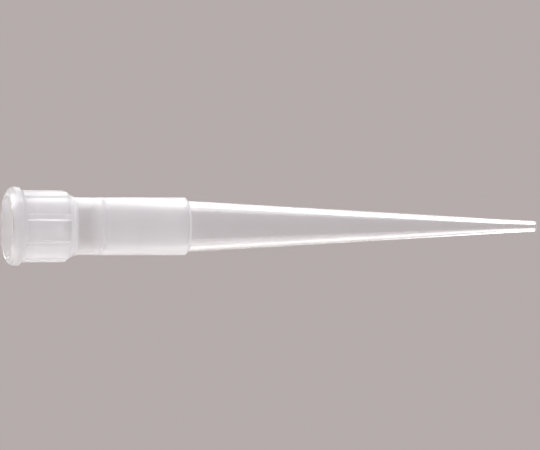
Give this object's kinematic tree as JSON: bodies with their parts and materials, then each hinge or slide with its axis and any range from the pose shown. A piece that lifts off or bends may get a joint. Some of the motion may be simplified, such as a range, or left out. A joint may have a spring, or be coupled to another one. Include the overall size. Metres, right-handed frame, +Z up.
{
  "type": "pipette tip",
  "caption": "Slender hollow plastic cone with a ribbed collar and rim bead; it pushes onto a pipette's nose and takes up or gives out a small measured volume of liquid.",
  "frame": {"origin": "centre of the mouth, in the plane of the rim face that the tip stands on", "axes": "+Z up along the tip's axis, from its mouth towards its point; +X through the middle of a rib"},
  "size_m": [0.0074, 0.0074, 0.0507],
  "materials": {
    "natural_polypropylene": "clear to slightly milky moulded polypropylene, glossy on the cone, a little softer on the barrel and collar"
  },
  "bodies": {
    "root": {"pipette_tip": "natural_polypropylene"}
  },
  "joints": []
}
